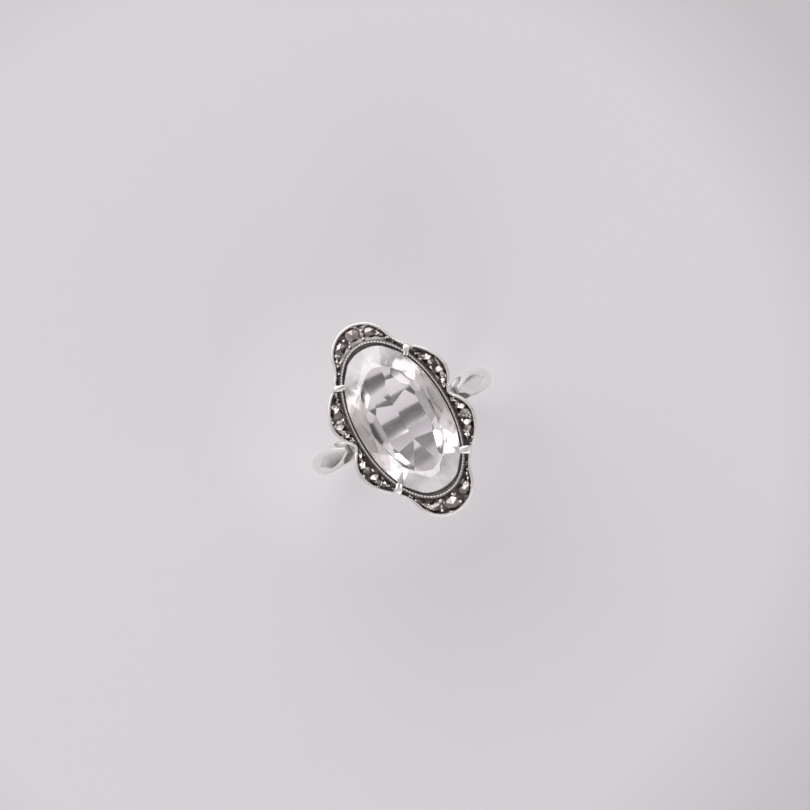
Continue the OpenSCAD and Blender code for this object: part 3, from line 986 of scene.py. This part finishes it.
# Larger grains in the gaps of the pave, as (x, y).
BIG_GRAIN_R = 0.21
BIG_GRAINS = [
    (-0.75, 8.5), (0.75, 8.5), (-0.95, 9.35), (0.95, 9.35), (-2.35, 8.45), (2.25, 8.3), (-2.85, 7.6),
    (-3.05, 7.05), (2.85, 7.45), (3.15, 6.85), (-0.85, -8.5), (0.45, -8.55), (-1.2, -9.45),
    (0.75, -9.6), (2.05, -8.3), (2.65, -7.6), (-4.85, 2.85), (4.85, 2.85), (-5.9, 3.15),
    (-5.2, 4.4), (5.1, 1.1), (-4.9, -2.75), (-5.95, -2.8), (4.85, -3.0), (4.7, -4.5),
]


def grain_rings(x, y, size):
    """A grain as rings from its foot to its top, leaning and stretched a little at random."""
    rows, sides = 7, 12
    lean_x, lean_y = chance.uniform(-0.05, 0.05), chance.uniform(-0.05, 0.05)
    stretch = chance.uniform(0.85, 1.15)
    a = np.arange(sides) * 2 * math.pi / sides
    rings = []
    for k in range(rows):
        rise = k / (rows - 1)
        radius = size * math.cos(rise * math.pi / 2 * 0.95) ** 0.8
        z = GROUND - 0.12 + (size + 0.16) * math.sin(rise * math.pi / 2)
        ring_x = x + lean_x * rise + radius * np.cos(a) * stretch
        ring_y = y + lean_y * rise + radius * np.sin(a) / stretch
        rings.append(np.column_stack([ring_x, ring_y, np.full(sides, z)]))
    return rings


def make_grains():
    """Raised silver grains that hold the marcasites."""
    outline = border_outline(0.1)
    shape = Shape()
    wear = np.array([0, 0.3, 0.9, 0.925, 0.95, 0.975, 1])[:, None]
    for x, y, size in grain_places() + [(x, y, BIG_GRAIN_R) for x, y in BIG_GRAINS]:
        to_edge = np.linalg.norm(outline - (x, y), axis=1).min()
        rim_reach = oval_radius(np.array([[x, y]]), RIM_OUT, RIM_POWER)[0]
        if to_edge > RIM_W + size * 0.2 and math.hypot(x, y) > rim_reach + size * 0.5:
            shape.sweep(grain_rings(x, y, size), wear)
    make_piece("pave_grains", shape, [milgrain_silver], [], smooth=60)


# ---- claws ----

# Each claw as (turn of its hooked end in degrees, length added, half width, depth of its groove).
CLAW_SHAPES = {
    "upper_right": (14, 0.02, 0.33, 0.13),
    "upper_left": (-10, 0.16, 0.30, 0.03),
    "lower_right": (-6, 0.05, 0.40, 0.02),
    "lower_left": (8, 0.00, 0.38, 0.10),
}


def turned(x, y, angle):
    """x and y turned by an angle, which may differ from ring to ring."""
    return x * np.cos(angle) - y * np.sin(angle), x * np.sin(angle) + y * np.cos(angle)


def make_claw(quadrant, signs):
    """A claw: up from the rail, through the border's notch, and over the girdle."""
    turn, longer, half_w, groove = CLAW_SHAPES[quadrant]
    over, count = INNER_TOP, 64
    points = [
        (-0.02, 8.85), (0.25, 9.35), (0.62, 10.1), (0.93, 10.9), (1.0, 11.6), (1.0, 12.3),
        (0.93, over - 0.02), (0.74, over + 0.16), (0.48, over + 0.20),
        (0.2 - longer / 2, over + 0.17), (-longer, over + 0.08),
    ]
    spine = through(points, count)
    share = np.linspace(0, 1, count)
    wide = np.interp(share, [0, 0.35, 0.7, 0.85, 1], [0.30, 0.36, half_w, half_w * 0.9, half_w * 0.62])
    deep = np.interp(share, [0, 0.35, 0.6, 0.8, 1], [0.26, 0.22, 0.19, 0.15, 0.12])
    closing = np.sqrt(np.clip((1 - share) / 0.045, 0.02, 1))
    path = np.column_stack([spine[:, 0], np.zeros(count), spine[:, 1]])
    rings = tube(path, wide * closing, deep * closing, (0, 1, 0), power=3.2, sides=24)
    x, y, z = (rings[..., k] for k in range(3))

    # The hooked end has a groove along its middle, black where it is deep.
    hook = smooth_step(share, 0.72, 0.9)[:, None]
    on_top = z > path[:, None, 2]
    wear = 1 - 0.85 * np.where(on_top, hook * np.exp(-((y / 0.075) ** 2)), 0) * (groove > 0.05)
    z = z - np.where(on_top, groove * hook * np.exp(-((y / 0.085) ** 2)), 0)
    wear = wear * (0.55 + 0.45 * smooth_step(z, 11.6, 12.4))

    # It is bent aside about the claw's upright part; then the claw goes to its corner.
    upright = 1.0
    x, y = turned(x - upright, y, math.radians(turn) * hook)
    x, y = turned(x + upright, y, CLAW_ANGLE)
    placed = np.stack([signs[0] * (CLAW_TIP[0] + x), signs[1] * (CLAW_TIP[1] + y), z], axis=-1)
    node = "claw_" + quadrant
    shape = Shape().sweep(placed, wear)
    make_piece(node + "_hook", shape, [claw_silver], [node], smooth=50)


# ---- stones ----


def cut_solid(outline, low, high, cuts):
    """Vertices and faces of an upright prism cut by planes, each (point, outward normal)."""
    bm = bmesh.new()
    bottom = [bm.verts.new((*p, low)) for p in outline]
    top = [bm.verts.new((*p, high)) for p in outline]
    bm.faces.new(bottom[::-1])
    bm.faces.new(top)
    for i in range(len(outline)):
        j = (i + 1) % len(outline)
        bm.faces.new((bottom[i], bottom[j], top[j], top[i]))
    for point, normal in cuts:
        whole = bm.verts[:] + bm.edges[:] + bm.faces[:]
        bmesh.ops.bisect_plane(
            bm, geom=whole, dist=1e-5, plane_co=point, plane_no=normal, clear_outer=True
        )
        rim = [e for e in bm.edges if e.is_boundary]
        if rim:
            bmesh.ops.holes_fill(bm, edges=rim, sides=0)
    bmesh.ops.remove_doubles(bm, verts=bm.verts[:], dist=2e-4)
    bm.normal_update()
    verts = np.array([v.co for v in bm.verts])
    order = {v: i for i, v in enumerate(bm.verts)}
    faces = [[order[v] for v in f.verts] for f in bm.faces]
    normals = [f.normal.copy() for f in bm.faces]
    bm.free()
    return verts, faces, normals


def facet(azimuth, slope, apex):
    """A plane through apex that faces azimuth and leans back by slope, both in degrees."""
    a, s = math.radians(azimuth), math.radians(slope)
    return Vector(apex), Vector((math.sin(s) * math.cos(a), math.sin(s) * math.sin(a), math.cos(s)))


def facet_kind(normal):
    """Marcasite facets differ in tarnish at random; as painted light, more of those that face +Y get the
    lit material, and those facing sideways or down get the shaded one.
    """
    if normal.z < 0.05:
        return SHADED
    return chance.choice((PLAIN, LIT, LIT) if normal.y > 0.1 else (PLAIN, PLAIN, SHADED, SHADED))


def make_marcasites():
    """Rose cuts: six facets on a round girdle, each stone cut and set a little unevenly."""
    turns = np.arange(30) * 2 * math.pi / 30
    circle = np.column_stack([np.cos(turns), np.sin(turns)])
    for node, x, y, r, seat in STONES:
        r *= 1.07
        rise = r * chance.uniform(0.46, 0.56)
        start = chance.uniform(0, 60)
        apex = (chance.uniform(-0.08, 0.08) * r, chance.uniform(-0.08, 0.08) * r, rise)
        slope = math.degrees(math.atan2(rise, r * 0.93))
        cuts = []
        for azimuth in range(0, 360, 60):
            aside, steeper = chance.uniform(-4, 4), chance.uniform(-2.5, 2.5)
            cuts.append(facet(start + azimuth + aside, slope + steeper, apex))
        verts, faces, normals = cut_solid(circle * r, -0.25, rise + 0.1, cuts)
        tilt = Matrix.Rotation(math.radians(chance.uniform(-5, 5)), 3, "X")
        tilt = np.array(tilt @ Matrix.Rotation(math.radians(chance.uniform(-5, 5)), 3, "Y"))
        shape = Shape().add(verts @ tilt.T + (x, y, seat + 0.25), faces)
        shape.kinds = [facet_kind(normal) for normal in normals]
        make_piece(node + "_rose_cut", shape, marcasites, [node], smooth=0)


def down_facet(point, rise_x, rise_y):
    """A cutting plane under the crystal that rises by rise_x and rise_y per millimetre."""
    return Vector(point), Vector((rise_x, rise_y, -1)).normalized()


def on_oval(turn, reach, z):
    """A point at turn degrees round the crystal, at a share of its size."""
    t = math.radians(turn)
    return Vector((STONE[0] * reach * math.cos(t), STONE[1] * reach * math.sin(t), z))


def round_facet(turn, reach, z, slope):
    """A pavilion facet of a round cut stretched to the oval, that leans by slope degrees."""
    t, s = math.radians(turn), math.radians(slope)
    way = Vector((math.cos(t) / STONE[0], math.sin(t) / STONE[1], 0)).normalized()
    return on_oval(turn, reach, z), way * math.sin(s) - Vector((0, 0, math.cos(s)))


def crown_facet(turn, reach0, z0, reach1, z1):
    """A crown facet through two heights, at two shares of the oval's size."""
    t = math.radians(turn)
    normal = Vector((math.cos(t) / STONE[0], math.sin(t) / STONE[1], (reach0 - reach1) / (z1 - z0)))
    return on_oval(turn, reach0, z0), normal.normalized()


def table_share(turn):
    """Size of the table at turn degrees round it, as a share of the crystal's."""
    return 0.71 + 0.05 * math.sin(math.radians(turn)) ** 2


GIRDLE_HALF = 0.09
KEEL_UPPER, KEEL_LOWER = 1.65, -2.15
# Facets by the keel as (x, y, depth over the keel, rise along x, rise along y).
KEEL_FACETS = [
    (0, 0, 0, 0.249, 0.006), (0, 0, 0, -0.249, -0.006), (0, 0, 0.008, 0, 0),
    (0, KEEL_UPPER, 0, 0.174, 0.188), (0, KEEL_UPPER, 0, -0.174, 0.188), (0, KEEL_UPPER, 0, -0.091, 0.222),
    (0, KEEL_LOWER, 0, 0.198, -0.28), (0, KEEL_LOWER, 0, -0.198, -0.28), (0, KEEL_LOWER, 0, -0.06, -0.36),
]
# Facets of the next tier, by the same measure.
MIDDLE_FACETS = [
    (-0.65, 3.5, 0.492, -0.152, 0.42), (0.3, 4.4, 0.616, 0.214, 0.36),
    (0.53, -4.07, 0.499, 0.17, -0.352), (-0.53, -4.07, 0.499, -0.17, -0.352),
    (2.25, -0.5, 0.56, 0.90, 0), (-2.1, -0.5, 0.53, -0.88, 0.02),
    (2.2, -2.3, 0.62, 0.66, -0.19), (-2.1, -2.4, 0.60, -0.64, -0.20),
    (2.25, 1.3, 0.56, 0.511, 0.155), (-2.2, 1.4, 0.56, -0.511, 0.175),
]


def crystal_cuts():
    """Facets of the crystal as planes. Heights are above the girdle's middle."""
    crown = STONE_HIGH[2] - GIRDLE_Z
    keel = STONE_LOW[2] - GIRDLE_Z
    cuts = [(Vector((0, 0, crown)), Vector((0, 0, 1)))]

    # Crown: eight mains, eight stars by the table and sixteen facets at the girdle.
    for turn in range(0, 360, 45):
        cuts.append(crown_facet(turn, 1.0, GIRDLE_HALF + 0.10, table_share(turn) + 0.015, crown))
        cuts.append(crown_facet(turn + 22.5, 0.93, 0.40, table_share(turn + 22.5) - 0.035, crown))
    for k in range(16):
        cuts.append(crown_facet(22.5 * k + 11.25, 1.0, GIRDLE_HALF, 0.80, 0.85))

    # Pavilion: shallow facets off the keel, a middle tier, a steep tier, then the girdle's.
    for x, y, rise, rise_x, rise_y in KEEL_FACETS + MIDDLE_FACETS:
        cuts.append(down_facet((x, y, keel + rise), rise_x, rise_y))
    for k in range(16):
        turn = 22.5 * k
        slope = 50 - 13.5 * abs(math.sin(math.radians(turn))) ** 1.5
        cuts.append(round_facet(turn, 0.985, -GIRDLE_HALF - 0.06, slope))
        cuts.append(round_facet(turn + 11.25, 1.0, -GIRDLE_HALF, 62))
    return cuts


def crystal_kind(normal):
    """Number of a facet's material: clear table, worn crown, ground girdle, blurred back."""
    if normal.z > 0.999:
        return 0
    if normal.z > 0.05:
        return 3 + (chance.random() < 0.5)
    return 2 if normal.z > -0.05 else 1


def make_crystal():
    """The long oval crystal: a cut solid with a keel under a stretched table."""
    outline = even(oval(STONE, STONE_POWER), 0.28)
    low, high = STONE_LOW[2] - GIRDLE_Z - 0.1, STONE_HIGH[2] - GIRDLE_Z + 0.1
    verts, faces, normals = cut_solid(outline, low, high, crystal_cuts())
    shape = Shape().add(verts + (0, 0, GIRDLE_Z), faces)
    shape.kinds = [crystal_kind(normal) for normal in normals]
    materials = [crystal_clear, crystal_back, crystal_girdle, crystal_hazed, crystal_worn]
    make_piece("centre_crystal_cut", shape, materials, ["centre_crystal"], smooth=0)


make_shank()
make_leaf("leaf_shoulder_right", 1, -1)
make_leaf("leaf_shoulder_left", -1, 1)
make_neck("neck_right", 1)
make_neck("neck_left", -1)
make_rail()
make_post("gallery_post_upper", 1)
make_post("gallery_post_lower", -1)
make_plate()
make_collet()
make_inner_rim()
make_outer_rims()
make_grains()
for quadrant, signs in QUADRANTS.items():
    make_claw(quadrant, signs)
make_crystal()
make_marcasites()
